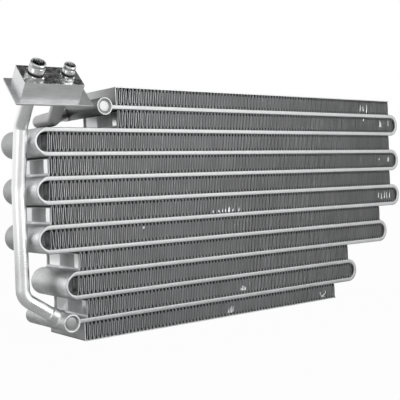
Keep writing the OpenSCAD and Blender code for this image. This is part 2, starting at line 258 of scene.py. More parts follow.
class Shader:
    """The node tree of one material or of the world."""

    def __init__(self, owner):
        owner.use_nodes = True
        self.tree = owner.node_tree
        self.tree.nodes.clear()

    def node(self, kind, settings=None, inputs=None, output=0):
        """Adds a node, sets its settings and then the values or links of its sockets."""
        made = self.tree.nodes.new(kind)
        for key, value in (settings or {}).items():
            setattr(made, key, value)
        for key, value in (inputs or {}).items():
            if isinstance(value, Value):
                self.tree.links.new(value.socket, made.inputs[key])
            else:
                made.inputs[key].default_value = value
        return Value(self, made.outputs[output]) if made.outputs else None

    def place(self, scale=(1, 1, 1), turn=(0, 0, 0)):
        """Object coordinates, scaled and turned."""
        where = self.node("ShaderNodeTexCoord", output="Object")
        return self.node(
            "ShaderNodeMapping", inputs={"Vector": where, "Scale": scale, "Rotation": turn}
        )

    def noise(self, vector, scale, detail=3.0, rough=0.5):
        """Smooth noise from 0 to 1."""
        return self.node(
            "ShaderNodeTexNoise",
            inputs={"Vector": vector, "Scale": scale, "Detail": detail, "Roughness": rough},
        )

    def spread(self, value, low, high, to_low=0.0, to_high=1.0):
        """Maps low to high onto to_low to to_high, held at both ends."""
        return self.node(
            "ShaderNodeMapRange",
            inputs={"Value": value, "From Min": low, "From Max": high, "To Min": to_low, "To Max": to_high},
        )

    def tint(self, colour, factor):
        """A colour times a grey factor."""
        inputs = {0: tuple(colour), "Scale": factor}
        return self.node("ShaderNodeVectorMath", {"operation": "SCALE"}, inputs)

    def along(self, vector, axis):
        """How far a vector reaches along a fixed axis."""
        inputs = {0: vector, 1: tuple(axis)}
        return self.node("ShaderNodeVectorMath", {"operation": "DOT_PRODUCT"}, inputs, "Value")

    def part(self, vector, name="X"):
        """One part of a vector; beside gives the other two."""
        return self.node("ShaderNodeSeparateXYZ", inputs={0: vector}, output=name)

    def guide(self):
        """The first of the three guide values that a mesh carries; beside gives the other two."""
        return self.part(self.node("ShaderNodeAttribute", {"attribute_name": "guide"}, output="Vector"))

    def rays(self):
        """Whether a ray comes from the camera, from a glossy surface or through a clear one."""
        seen = self.node("ShaderNodeLightPath", output="Is Camera Ray")
        return seen, seen.beside("Is Glossy Ray"), seen.beside("Is Transmission Ray")

    def bump(self, height, distance, strength):
        """A normal bent by a height field."""
        return self.node(
            "ShaderNodeBump", inputs={"Height": height, "Distance": distance, "Strength": strength}
        )

    def finish(self, **sockets):
        """Ends the tree with a Principled shader."""
        constants = {key.replace("_", " "): value for key, value in sockets.items()}
        skin = self.node("ShaderNodeBsdfPrincipled", inputs=constants)
        self.node("ShaderNodeOutputMaterial", inputs={"Surface": skin})

    def metal(self, colour, tone, rough, **sockets):
        """Ends the tree with a bare metal: a colour times a tone."""
        self.finish(Base_Color=self.tint(colour, tone), Metallic=1.0, Roughness=rough, **sockets)


def shade(colour, factor):
    """A colour times a number."""
    return tuple(factor * part for part in colour)


def new_material(name):
    """A new material and its shader."""
    material = bpy.data.materials.new(name)
    return material, Shader(material)


def tube_finish(name, colour):
    """Brazed aluminium: mottled grey flux film, faint rolling lines along the runs, soft waviness. The
    guide is painted light and shade: it lightens or darkens it."""
    material, s = new_material(name)
    mottle = s.noise(s.place(), 260.0, 5.0, 0.62)
    film = s.noise(s.place((1, 1, 3)), 38.0, 3.0)
    lines = s.noise(s.place((6, 900, 60)), 1.0, 2.0)
    # The guide term paints light and shade into the tone
    tone = s.spread(mottle, 0.3, 0.7, 0.86, 1.1) * s.spread(film, 0.3, 0.7, 0.92, 1.04) * (1.0 + s.guide())
    rough = s.spread(mottle + film, 0.7, 1.3, 0.42, 0.56)
    s.metal(colour, tone, rough, Normal=s.bump(mottle * 0.6 + lines * 0.4, 0.00012, 0.5))
    return material


def fin_finish(name, colour):
    """Thin fin sheet: the tone changes a little from leg to leg, painted light makes it lighter to the left
    and below, a painted highlight lightens the folds and the edges, painted shade darkens the outer sides of
    the folds, and the plain strips of an end leg are smoother and painted bright, as are the bent bits."""
    material, s = new_material(name)
    leg = s.noise(s.place((1, 0.1, 0.05)), 330.0, 2.0, 0.7)
    patch = s.noise(s.place((1, 1, 1)), 26.0, 2.0)
    plain = s.guide()
    fold, gap = plain.beside("Y"), plain.beside("Z")
    tone = s.spread(leg, 0.3, 0.7, 0.92, 1.08) * s.spread(patch, 0.35, 0.65, 0.94, 1.05)
    # Painted light: lighter to the left and lower down
    spot = s.part(s.place())
    tone = tone * s.spread(spot, -0.2, 0.3, 1.25, 0.92) * s.spread(spot.beside("Z"), 0.0, 0.15, 1.22, 1.0)
    # Painted highlight on the folds and edges, painted shade on the outer sides of the folds, and painted
    # brightness on the plain strips and the bent bits
    sheet = tone * (1.0 + fold * 0.25) * (1.0 - gap * 0.85) * (1.0 - plain) + plain * 1.9
    s.metal(colour, sheet.at_most(1.95), s.spread(plain, 0.0, 1.0, 0.5, 0.14))
    return material


def plate_finish(name, colour, end, painted_shade):
    """Rolled sheet: fine rolling grain along the length and a soft cloud of oxide. Its bent end, left of
    the given place, carries painted shade, darker towards the front, but for its front edge."""
    material, s = new_material(name)
    grain = s.noise(s.place((20, 900, 900)), 1.0, 3.0)
    cloud = s.noise(s.place(), 30.0, 4.0)
    tone = s.spread(grain, 0.3, 0.7, 0.93, 1.05) * s.spread(cloud, 0.3, 0.7, 0.9, 1.06)
    rough = s.spread(cloud, 0.3, 0.7, 0.34, 0.5)
    spot = s.part(s.place())
    # Painted shade on the bent end, darker towards the front, but not on its front edge
    bent = 1.0 - s.spread(spot, end * MM, (end + 1.0) * MM)
    depth = spot.beside("Y")
    dark = s.spread(depth, 0.02, -0.038, 0.0, painted_shade) * s.spread(depth, -0.0381, -0.0376)
    tone = tone * (1.0 - bent * dark)
    s.metal(colour, tone, rough, Normal=s.bump(grain, 0.00005, 0.5))
    return material


def pipe_finish(name, colour, rough_low=0.16, rough_high=0.3):
    """Drawn pipe: bright, with a faint orange peel and cloudy smudges."""
    material, s = new_material(name)
    peel = s.noise(s.place(), 420.0, 2.0)
    smudge = s.noise(s.place((1, 1, 0.35)), 60.0, 4.0, 0.6)
    tone = s.spread(smudge, 0.3, 0.7, 0.95, 1.03)
    rough = s.spread(smudge, 0.35, 0.65, rough_low, rough_high)
    s.metal(colour, tone, rough, Normal=s.bump(peel, 0.00006, 0.5))
    return material


def block_finish(name, colour, turn, out, top):
    """Milled block: fine cutter lines along its length and a satin, uneven sheen. Its top, the part
    further than a given distance along the outward axis, is smooth and darker in blotches."""
    material, s = new_material(name)
    cut = s.noise(s.place((25, 700, 700), turn), 1.0, 3.0)
    cloud = s.noise(s.place(), 70.0, 4.0)
    tone = s.spread(cut, 0.3, 0.7, 0.94, 1.05) * s.spread(cloud, 0.3, 0.7, 0.92, 1.06)
    is_top = s.spread(s.along(s.place(), out), top - 0.0004, top - 0.0001)
    dark_blotches = s.spread(s.noise(s.place(), 210.0, 5.0, 0.65), 0.4, 0.62, 0.16, 0.75)
    tone = tone * (1.0 - is_top) + dark_blotches * is_top
    rough = s.spread(cut + cloud, 0.7, 1.3, 0.46, 0.58) - is_top * 0.28
    s.metal(colour, tone, rough, Normal=s.bump(cut, 0.00006, 0.6))
    return material


def rubber_finish(name, colour):
    """Black moulded rubber with a faint bloom."""
    material, s = new_material(name)
    bloom = s.noise(s.place(), 900.0, 3.0)
    tone = s.spread(bloom, 0.3, 0.7, 0.8, 1.3)
    s.finish(
        Base_Color=s.tint(colour, tone),
        Roughness=s.spread(bloom, 0.3, 0.7, 0.4, 0.6),
        Normal=s.bump(bloom, 0.00002, 0.5),
    )
    return material


class Shell:
    """Grids of points, in millimetres, that make one mesh. Each point carries three guide values."""

    def __init__(self):
        self.points, self.faces, self.guides, self.count = [], [], [], 0

    def grid(self, points, guide, is_ring):
        """Joins each point of a (u, v, 3) grid, round in v, to its neighbours; a ring is round in u too."""
        nu, nv = points.shape[:2]
        index = np.arange(nu * nv).reshape(nu, nv) + self.count
        index = np.concatenate([index, index[:, :1]], 1)
        if is_ring:
            index = np.concatenate([index, index[:1]], 0)
        quads = np.stack([index[:-1, :-1], index[1:, :-1], index[1:, 1:], index[:-1, 1:]], -1)
        self.faces.extend(quads.reshape(-1, 4).tolist())
        self.points.append(points.reshape(-1, 3) * MM)
        self.guides.append(np.zeros((nu * nv, 3)) if guide is None else guide.reshape(-1, 3))
        self.count += nu * nv
        return index

    def closed(self, points, guide=None):
        """Adds a grid, with its first and its last ring each closed by one face."""
        index = self.grid(points, guide, False)
        self.faces.extend(index[[0, -1], :-1].tolist())

    def ring(self, points, guide=None):
        """Adds a grid that closes on itself both ways."""
        self.grid(points, guide, True)

    def mesh(self, name, sharp):
        """Makes the mesh, merges its doubles and turns its faces outwards."""
        mesh = bpy.data.meshes.new(name)
        mesh.from_pydata(np.concatenate(self.points), [], self.faces)
        layer = mesh.attributes.new("guide", "FLOAT_VECTOR", "POINT")
        layer.data.foreach_set("vector", np.concatenate(self.guides).astype(np.float32).ravel())
        work = bmesh.new()
        work.from_mesh(mesh)
        bmesh.ops.remove_doubles(work, verts=work.verts, dist=2e-6)
        bmesh.ops.recalc_face_normals(work, faces=work.faces)
        work.to_mesh(mesh)
        work.free()
        mesh.shade_smooth()
        mesh.set_sharp_from_angle(angle=math.radians(sharp))
        return mesh


def add_piece(name, mesh, material, slot, *nodes):
    """Puts a finished mesh into the scene, in the place of the named solids."""
    piece = bpy.data.objects.new(name, mesh)
    bpy.context.scene.collection.objects.link(piece)
    mesh.materials.clear()
    mesh.materials.append(material)
    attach(piece, "root")
    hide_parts(*nodes)
    return piece


def edge_ring(width, thickness, corner, flat=24, turn=5):
    """Outline of the flat tube across its width (y, b): two flats, and at each edge two quarter circles
    with a short flat between them."""
    y, b = width / 2 - corner, thickness / 2 - corner
    a = np.radians(np.linspace(90, 0, turn))
    arc = corner * np.stack([np.cos(a), np.sin(a)], -1)
    top = np.stack([np.linspace(-y, y, flat + 2)[1:-1], np.full(flat, thickness / 2)], -1)
    front = np.concatenate([[y, b] + arc, [y, -b] + arc[::-1] * [1, -1]])
    return np.concatenate([top, front, -top, -front])


def tube_route(sizes, steps=60, turns=26):
    """Centre line of the folded tube: runs along X joined by half circles, with the normal of each point.
    A half circle is the centre plus r (cos a, sin a), and its normal points out or in by turns."""
    half = sizes.thickness / 2
    levels = np.linspace(TUBE_HIGH[2] - half, TUBE_LOW[2] + half, RUNS)
    radius = (levels[0] - levels[1]) / 2
    headers = {0: TOP_HEADER[0] + sizes.stop, RUNS - 1: BOTTOM_HEADER[0] + sizes.stop}
    places, normals = [], []
    for k in range(RUNS):
        side = 1 if k % 2 == 0 else -1
        left = headers[k] if k in headers else LEFT_BENDS[(k - 1) // 2]
        start, end = (left, RIGHT_BENDS[k // 2])[::side]
        places.append(np.stack([np.linspace(start, end, steps), np.full(steps, levels[k])], -1))
        normals.append(np.tile([0.0, side], (steps, 1)))
        if k == RUNS - 1:
            break
        a = np.radians(90 - side * np.linspace(0, 180, turns + 2)[1:-1])
        arc = np.stack([np.cos(a), np.sin(a)], -1)
        centre = np.array([end, (levels[k] + levels[k + 1]) / 2])
        places.append(centre + radius * arc)
        normals.append(side * arc)
    return np.concatenate(places), np.concatenate(normals)


def left_bends(sizes, place, y):
    """Two values for each station and each place y across the tube: how far the bend rounds off, the
    square of the nearness to the front edge, and the guide value of painted light: a painted highlight
    along the front of a bend, and on the lowest one a lighter rear and a painted dark reflection band."""
    is_low = place[:, 1:] < (ROW_BOXES[7][0][2] + ROW_BOXES[7][1][2]) / 2
    bent = np.clip((np.where(is_low, LEFT_BENDS[3], LEFT_BENDS[0]) - place[:, :1]) / 7, 0, 1)
    front = np.clip((-y - 19) / 15, 0, 1)
    rear = np.clip((y + 5) / 20, 0, 1)
    cloud = np.exp(-(((y + 13) / 7) ** 2))
    # Painted light: a painted highlight along the front of each left bend, and on the lowest bend a painted
    # lighter rear and a painted dark reflection band (cloud)
    light = bent * (0.9 * front + is_low * (0.42 * rear - 0.26 * cloud))
    # The rounded edges of a bend get an even painted highlight
    is_flat = np.abs(y) < sizes.width / 2 - sizes.corner + 0.1
    return bent * front**2, np.where(is_flat, light, 0.25 * bent)


def serpentine_mesh(sizes):
    """The tube's outline carried along its route: point + normal * b, and y across, with edges that
    wander by a sum of three sines of the distance along the route."""
    place, normal = tube_route(sizes)
    steps = np.linalg.norm(np.diff(place, axis=0), axis=1)
    s = np.concatenate([[0], np.cumsum(steps)])[:, None]
    ring_y, ring_b = edge_ring(sizes.width, sizes.thickness, sizes.corner).T[:, None]
    wander = sizes.wave * (
        0.5 * np.sin(s / 37) + 0.3 * np.sin(s / 15.1 + 1.3) + 0.2 * np.sin(s / 7.3 + 0.4)
    )
    fade = np.minimum(1, np.minimum(s, s[-1] - s) / 20)
    y = ring_y + fade * wander * np.sign(ring_y)
    rounding, light = left_bends(sizes, place, ring_y)
    b = ring_b + sizes.flare * rounding * (ring_b < 0)
    grid = np.stack([place[:, :1] + normal[:, :1] * b, y, place[:, 1:] + normal[:, 1:] * b], -1)
    shell = Shell()
    # The first guide value is the painted light of the left bends
    shell.closed(grid, np.stack([light, 0 * light, 0 * light], -1))
    return shell.mesh("serpentine", 50)


def saw(start, end, count):
    """Columns of a bank of louvres from start to end: each louvre leans from -1 to +1 across its pitch."""
    edge = np.linspace(start, end, count + 1)
    gap = 0.04 * (edge[1] - edge[0])
    y = np.stack([edge[:-1] + gap, edge[1:] - gap], -1).ravel()
    return y, np.tile([-1.0, 1.0], count)


def fin_columns(banks, stops=()):
    """All columns across the depth: the two edges, plain stops and the banks of louvres, in order."""
    parts = [saw(*bank) for bank in banks]
    plain = np.array([-FIN_HALF, 0.3 - FIN_HALF, FIN_HALF - 0.3, FIN_HALF, *stops])
    y = np.concatenate([plain] + [p[0] for p in parts])
    lean = np.concatenate([np.zeros(len(plain))] + [p[1] for p in parts])
    order = np.argsort(y)
    return y[order], lean[order]


def fin_path(sizes, folds, bows, box):
    """The folded line of a row, as stations (x, z, open, fold). A leg runs evenly from the fold before it
    to the one after it with a bow of sin(pi t); a fold is half an ellipse, (half width cos a, rise sin a),
    over the legs' ends. open is 1 where a leg may have louvres, fold is 1 round a fold."""
    low, high = box[0] + [0, 0, 0.07], box[1] - [0, 0, 0.07]
    r, rise, legs = sizes.fold, sizes.rise, np.arange(len(folds) - 1)[:, None]
    up = np.where(legs % 2 == 0, 1.0, -1.0)
    base, tall = np.where(up > 0, low[2] + rise, high[2] - rise), high[2] - low[2] - 2 * rise
    t = np.array([0.0, sizes.plain / tall, 0.5, 1 - sizes.plain / tall, 1.0])
    a = np.radians([45, 90, 135])
    leg_x = folds[legs] + r + (folds[legs + 1] - folds[legs] - 2 * r) * t + bows[legs] * np.sin(math.pi * t)
    turn_x = folds[legs + 1] - r * np.cos(a)
    x = np.hstack([leg_x, turn_x]).ravel()
    z = np.hstack([base + up * tall * t, base + up * (tall + rise * np.sin(a))]).ravel()
    is_open = np.tile([0.0, 1, 1, 1, 0, 0, 0, 0], len(legs))
    is_fold = np.tile([0.5, 0, 0, 0, 0.5, 1, 1, 1], len(legs))
    x[-1], z[-1] = high[0], z[-2]
    cut = math.sqrt(0.5)
    x = np.concatenate([[low[0], folds[0], folds[0] + r * cut], x])
    z = np.concatenate([[low[2], low[2], low[2] + rise * (1 - cut)], z])
    return np.stack([x, z, np.concatenate([[0] * 3, is_open]), np.concatenate([[1] * 3, is_fold])], -1)


def end_guide(y, is_open, is_high, number):
    """Guide values of an end leg: how plain it is, which smooths it and paints it bright, full in its
    strips and less in the upper rows and near its top, and its painted shade, least just in front of
    the rear strip."""
    strip = sum((y > front) & (y < rear) for front, rear in STRIPS)
    # How bright the plain strips are painted, by row
    share = np.where(y > 0, 0.3 if number == 1 else 0.6, 0.85) if number < 7 else 1.0
    plain = strip * is_open * np.where(is_high, 0.25, 1.0) * share
    # Painted shade across the end leg
    dark = 0.4 - 0.5 * np.clip((y + 12) / 19, 0, 1) * (y < 7.4)
    return plain, dark * (1 - plain)


def bent_strand(shell, x, z, length, lean, half=0.6):
    """A bit of fin bent out at the front: a flat diamond carried upwards, narrowing, and leaning by the
    sine of its height."""
    across, depth = half * np.array([[-1, 0, 1, 0], [0, -0.2, 0, 0.2]])
    t = np.linspace(0, 1, 5)[:, None]
    side = x + lean * np.sin(2.2 * t) + across * (1.1 - t * 0.6)
    front = depth * (1 - 0.5 * t) - FIN_HALF - 0.05
    points = np.stack(np.broadcast_arrays(side, front, z + length * (t - 0.5)), -1)
    # The guide paints a highlight on the bent bit
    shell.closed(points, np.tile([0, 0, -0.95], (*points.shape[:2], 1)))


def fin_line(sizes, number):
    """The folded line of a row. Its folds are spaced and its legs are bowed unevenly, more so at the
    left, and a line that reaches into a right bend is cut to the bend's circle."""
    low, high = ROW_BOXES[number]
    bend, reach = high[0], sizes.reach if number in RIGHT_ROWS else 0
    high = high + [reach, 0, 0]
    rng = np.random.default_rng(sizes.seed + number)
    count = 2 * round((high[0] - low[0]) / sizes.wave)
    folds = np.linspace(low[0] + sizes.foot / 2, high[0] - sizes.foot / 2, count + 1)
    loose = 1 + 2.6 * np.exp(-(folds - low[0]) / 30)
    folds[1:-1] += (rng.normal(0, sizes.scatter, count + 1) * loose)[1:-1]
    bows = np.clip(rng.normal(0, sizes.bow, count) * loose[1:], -0.6, 0.6)
    bows[[0, -1]] = 0.4 if number > 6 else -0.2, 0.2
    path = fin_path(sizes, folds, bows, (low, high))
    if reach:
        middle, tall = (high[2] + low[2]) / 2, (high[2] - low[2]) / 2 - 0.2
        room = np.sqrt(tall**2 - np.clip(path[:, 0] - bend - 0.5, 0, reach) ** 2)
        path[:, 1] = np.clip(path[:, 1], middle - room, middle + room)
    return path


def fin_mesh(sizes, number):
    """One corrugated sheet: the folded line carried across the depth, half its thickness out on each
    side. Ordinary legs have a few louvres near their front and back edges, the two end legs have a full
    bank; a louvre pushes x by its lean. The second guide paints a highlight on the folds and the front and
    back edges, and the third paints shade on the outer side of a fold."""
    path = fin_line(sizes, number)
    base, top = (corner[2] for corner in ROW_BOXES[number])
    stops = [edge + step for strip in STRIPS for edge in strip for step in (-0.2, 0.2)]
    body, end = fin_columns(BODY_BANKS), fin_columns(END_BANKS, stops)
    way = np.gradient(path[:, :2], axis=0)
    way /= np.linalg.norm(way, axis=1)[:, None]
    last = len(path) - 8
    shell = Shell()
    for first, stop, (y, lean) in ((0, 8, end), (7, last + 1, body), (last, len(path), end)):
        x, z, is_open, is_fold = path[first:stop].T[..., None]
        up = np.sign(z - (top + base) / 2)
        grids, guides = [], []
        for side, order in ((1, slice(None)), (-1, slice(None, None, -1))):
            off = side * sizes.sheet / 2 * way[first:stop]
            across = x + sizes.louvre * lean * is_open - off[:, 1:]
            grids.append(np.stack(np.broadcast_arrays(across, y[None], z + off[:, :1]), -1)[:, order])
            # Painted shade on the outer side of each fold
            plain, dark = 0.0, (side * up > 0) * (is_fold > 0)
            if y is end[0]:
                plain, dark = end_guide(y, is_open, z > top - 3, number)
            # Painted highlight on the folds and the front and back edges; the painted shade is weaker at the
            # lower folds
            light = is_fold + 2.0 * (np.abs(y) > FIN_HALF - 0.1)
            dark = dark * np.where(up > 0, 1.0, 0.62)
            guides.append(np.stack(np.broadcast_arrays(plain, light, dark), -1)[:, order])
        shell.closed(np.concatenate(grids, 1), np.concatenate(guides, 1))
    for strand in BENT_FINS.get(number, ()):
        bent_strand(shell, *strand)
    return shell.mesh(f"fins_{number + 1:02d}", 60)


def plate_ring(x0, x1, height, t=1.0, bend=1.5):
    """Outline of a side plate along X with its left end bent up: outer line, then inner line back."""
    a = np.radians(np.linspace(270, 180, 7))
    outer = [(x1, 0.0)] + [(x0 + bend + bend * math.cos(v), bend + bend * math.sin(v)) for v in a]
    outer += [(x0, height), (x0 + t, height)]
    inner = bend - t
    outer += [(x0 + bend + inner * math.cos(v), bend + inner * math.sin(v)) for v in a[::-1]]
    return np.array(outer + [(x1, t)])


def plate_mesh(name, upside_down):
    """The plate's outline carried across the depth of the core."""
    low, high = node_box(name)
    ring = plate_ring(low[0], high[0], high[2] - low[2])
    z = high[2] - ring[:, 1] if upside_down else low[2] + ring[:, 1]
    y = np.linspace(low[1], high[1], 5)
    grid = np.stack(np.broadcast_arrays(ring[None, :, 0], y[:, None], z[None, :]), -1)
    shell = Shell()
    shell.closed(grid)
    return shell.mesh(name, 40)


def turned(centre, axis, profile, sides=64, shape=None):
    """Points of a turned shape: centre + axis * h + radius * (cos a, sin a) across the axis, for each
    (h, radius) of the profile. shape, a function of the angle and the level, may change the radius."""
    axis = unit(np.array(axis, float))
    side = unit(np.cross(axis, [1, 0, 0] if abs(axis[0]) < 0.7 else [0, 1, 0]))
    other = np.cross(axis, side)
    a = np.linspace(0, 2 * math.pi, sides, endpoint=False)
    profile = np.array(profile, float)
    radius = np.repeat(profile[:, 1:2], sides, 1)
    if shape is not None:
        radius = shape(a[None, :], np.arange(len(profile))[:, None], radius)
    spoke = np.cos(a)[:, None] * side + np.sin(a)[:, None] * other
    return np.array(centre) + profile[:, :1, None] * axis + radius[..., None] * spoke


def header_out(name):
    """Radius of a header."""
    low, high = node_box(name)
    return (high[0] - low[0]) / 2


def header_mesh(name, centre, painted_outer_shade):
    """A thick tube along Y with broken edges: the wall's outline turned about the axis. The guide marks
    painted shade on its outer side."""
    low, high = node_box(name)
    r, l, wall, e = header_out(name), (high[1] - low[1]) / 2, 1.6, 0.25
    outline = [(-l + e, r), (-l + 0.1, r - 0.15), (-l, r - e), (-l, r - wall + e), (-l + e, r - wall)]
    outline += [(-h, q) for h, q in outline[::-1]]
    points = turned(centre, (0, 1, 0), outline)
    guide = np.zeros_like(points)
    # Painted shade on the header's outer side
    guide[[radius == r for _, radius in outline], :, 0] = -painted_outer_shade
    shell = Shell()
    shell.ring(points, guide)
    return shell.mesh(name, 50)


def cap_mesh(name):
    """A pressed disc whose middle stands out in a soft dome, with a groove round it."""
    low, high = node_box(name)
    centre = (low + high) / 2
    out = 1 if centre[1] > 0 else -1
    r, h = (high[0] - low[0]) / 2, (high[1] - low[1]) / 2
    outline = [(-h, 0.01), (-h, r), (h * 0.8, r), (h * 0.7, r - 0.4), (h * 0.3, r - 0.8)]
    outline += [(h * 0.5, r - 1.4), (h * 0.95, r - 1.9), (h * 1.1, r - 2.8), (h * 1.2, r * 0.3)]
    outline.append((h * 1.22, 0.01))
    shell = Shell()
    shell.closed(turned(centre, (0, out, 0), outline))
    return shell.mesh(name, 50)


def route(points, bends, radii):
    """Stations along a pipe: straight stretches, and a round bend of the given radius at each inner
    point. A bend's points are its centre plus the start arm turned step by step about the bend's axis."""
    points = [np.array(p, float) for p in points]
    places, ways, sizes = [points[0]], [unit(points[1] - points[0])], [radii[0]]
    for i in range(1, len(points) - 1):
        u, w = unit(points[i] - points[i - 1]), unit(points[i + 1] - points[i])
        angle = math.acos(min(1.0, float(u @ w)))
        if bends[i] == 0 or angle < 1e-4:
            places.append(points[i])
            ways.append(unit(u + w))
            sizes.append(radii[i])
            continue
        start = points[i] - u * bends[i] * math.tan(angle / 2)
        inward = unit(w - u * (u @ w))
        for a in np.linspace(0, angle, max(3, int(math.degrees(angle) / 3))):
            places.append(start + bends[i] * (math.sin(a) * u + (1 - math.cos(a)) * inward))
            ways.append(math.cos(a) * u + math.sin(a) * inward)
            sizes.append(radii[i])
    places.append(points[-1])
    ways.append(unit(points[-1] - points[-2]))
    sizes.append(radii[-1])
    return np.array(places), np.array(ways), np.array(sizes)


def carried(places, ways, sizes, sides=48):
    """A circle carried along stations: place + size * (cos a * side + sin a * other). The side vector is
    kept square to the way from station to station, so the pipe doesn't twist."""
    side = unit(np.cross(ways[0], [0.3, 1.0, 0.1]))
    spokes = []
    a = np.linspace(0, 2 * math.pi, sides, endpoint=False)[:, None]
    for way in ways:
        side = unit(side - way * (side @ way))
        spokes.append(np.cos(a) * side + np.sin(a) * np.cross(way, side))
    return places[:, None, :] + sizes[:, None, None] * np.array(spokes)


def fillet(shell, end, way, radius, out):
    """Adds a fillet of braze round a pipe: a ring that falls from the header's side to the pipe."""
    h = np.linspace(0, 1, 7)
    curve = [(out - 3 + 5.2 * t, radius - 0.2 + 2.0 * (1 - math.sin(math.pi / 2 * t))) for t in h]
    outline = [(out - 3, radius - 0.6)] + curve + [(out + 2.2, radius - 0.6)]
    shell.ring(turned(end, way, outline, 48))


def block_axes(block):
    """The block's axes: along its length, to the back and up, and out of its top."""
    cz, sz = math.cos(block.turn), math.sin(block.turn)
    ct, st = math.cos(block.tilt), math.sin(block.tilt)
    along = np.array([cz, sz, 0])
    back = np.array([-sz * ct, cz * ct, st])
    out = np.array([sz * st, -cz * st, ct])
    return along, back, out


def on_block(block, at, height):
    """A point on the block, from its place on the top and its height above it."""
    along, back, out = block_axes(block)
    return np.array(block.corner) + along * at[0] + back * at[1] + out * height


def plugged(header, place, turn, pipes):
    """The end of a pipe inside a header: its entry on the header's centre line, moved towards the pipe's
    first turn by the length of the plug."""
    end = header + place
    return end + unit(turn - end) * pipes.plug


def entry(points, pipes):
    """Where a pipe's line crosses the centre line of its header, and its way out from there."""
    way = unit(points[1] - points[0])
    return points[0] - way * pipes.plug, way


def suction_points(pipes, block, length=27, taper=8):
    """Corners of the suction pipe from the bottom header to its socket in the block, the radii of its
    bends and the pipe's radius at each corner. Its upper end is a narrower neck of the given length,
    below a taper in two steps."""
    out = block_axes(block)[2]
    top = on_block(block, block.suction_at, block.socket - block.height)
    knee = top - out * (top[2] - TOP_HEADER[2] + pipes.knee) / out[2]
    way = unit(top - knee)
    neck = top - way * length
    r, n = pipes.suction / 2, pipes.neck / 2
    foot = np.array([TUBE_LOW[0] - pipes.gap - r, pipes.upright, BOTTOM_HEADER[2] + pipes.foot])
    lean = np.array([foot[0], foot[1], TOP_HEADER[2] - pipes.lean])
    plug = plugged(BOTTOM_HEADER, pipes.low_entry, foot, pipes)
    points = [plug, foot, lean, knee, neck - way * 2 * taper, neck - way * taper, neck, top]
    return points, [0, 16, 60, 12, 0, 0, 0, 0], [r, r, r, r, r, (r + n) / 2, n, n]


def liquid_points(pipes, block):
    """Corners, bends and radii of the liquid pipe from the top header to its socket in the block. It
    rests just above the second run."""
    out = block_axes(block)[2]
    top = on_block(block, block.liquid_at, block.socket - block.height)
    level = ROW_BOXES[1][0][2] + pipes.rest + pipes.liquid / 2
    knee = top - out * (top[2] - level) / out[2]
    turn = np.array([knee[0], 2, level])
    plug = plugged(TOP_HEADER, pipes.high_entry, turn, pipes)
    return [plug, turn, knee, top], [0, 13, 8.5, 0], [pipes.liquid / 2] * 4


def collar(shell, pipes, points, end=18.5):
    """Adds the sleeve round the suction pipe: a wall turned about the pipe, with its free end pressed
    down onto it."""
    r, s = pipes.suction / 2, pipes.sleeve / 2
    outline = [(7, r - 0.2), (7, s), (end - 1.9, s), (end - 0.9, s - 0.3), (end - 0.3, s - 0.8)]
    outline += [(end, r + 0.1), (end, r - 0.2)]
    shell.ring(turned(*entry(points, pipes), outline))


def fitting_mesh(name, block, at, d, hexagon, height, bore, hex_h=4.8, seal=1.8, pitch=0.8, cut=0.22):
    """A turned fitting with a hexagon and fine ridges: on the hexagon's levels the radius is the flat's
    distance over the cosine of the angle from its middle, cut by the chamfer's circle."""
    neck, flat = d / 2 - seal, hexagon / 2
    corner = flat / math.cos(math.pi / 6)
    r = d / 2
    outline = [(0.0, corner - 0.5, 1), (0.3, corner, 1), (hex_h - 0.9, corner, 1), (hex_h, flat + 0.1, 1)]
    outline += [(hex_h, neck, 0), (hex_h + seal, neck, 0), (hex_h + seal, r - 0.25, 0)]
    outline.append((hex_h + seal + 0.25, r, 0))
    for ridge in np.arange(hex_h + seal + 0.9, height - 5.2, pitch):
        outline += [(ridge, r, 0), (ridge + pitch / 2, r - cut, 0)]
    outline += [(height - 4.7, r, 0), (height - 4.4, r, 0), (height - 4.1, r - 0.3, 0)]
    outline += [(height - 3.7, r - 0.3, 0), (height - 3.4, r, 0), (height - 1.0, r, 0)]
    outline += [(height - 0.3, r - 0.6, 0), (height, r - 1.0, 0), (height, bore / 2 + 0.9, 0)]
    outline += [(height - 0.25, bore / 2 + 0.6, 0), (height - 3, bore / 2, 0), (-5.5, bore / 2, 0)]
    hexed = np.array([p[2] for p in outline])

    def shape(angle, level, radius):
        """Radius of the hexagon or circle at an angle."""
        off = np.mod(angle + math.pi / 6, math.pi / 3) - math.pi / 6
        return np.where(hexed[level] == 1, np.minimum(radius, flat / np.cos(off)), radius)

    out = block_axes(block)[2]
    shell = Shell()
    shell.closed(turned(on_block(block, at, 0), out, [p[:2] for p in outline], 96, shape))
    return shell.mesh(name, 30)


def solid_copy(name):
    """A merged copy of a solid's mesh, with its flat faces made whole."""
    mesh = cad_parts[name].data.copy()
    work = bmesh.new()
    work.from_mesh(mesh)
    bmesh.ops.remove_doubles(work, verts=work.verts, dist=2e-6)
    bmesh.ops.dissolve_limit(
        work, angle_limit=math.radians(1), verts=work.verts, edges=work.edges, use_dissolve_boundaries=False
    )
    work.to_mesh(mesh)
    work.free()
    mesh.shade_smooth()
    return mesh


def soften(piece, width):
    """Breaks the sharp edges of a piece."""
    bevel = piece.modifiers.new("edges", "BEVEL")
    bevel.width, bevel.segments, bevel.limit_method = width * MM, 2, "ANGLE"
    bevel.angle_limit = math.radians(35)
    weighted = piece.modifiers.new("normals", "WEIGHTED_NORMAL")
    weighted.keep_sharp = True


def aimed(name, data, place, across, upward, away):
    """Adds a camera or a lamp at a place, turned so that it looks against the last of its three axes."""
    thing = bpy.data.objects.new(name, data)
    bpy.context.scene.collection.objects.link(thing)
    turn = Matrix(np.stack([across, upward, away], -1).tolist()).to_4x4()
    turn.translation = place
    thing.matrix_world = turn
    return thing


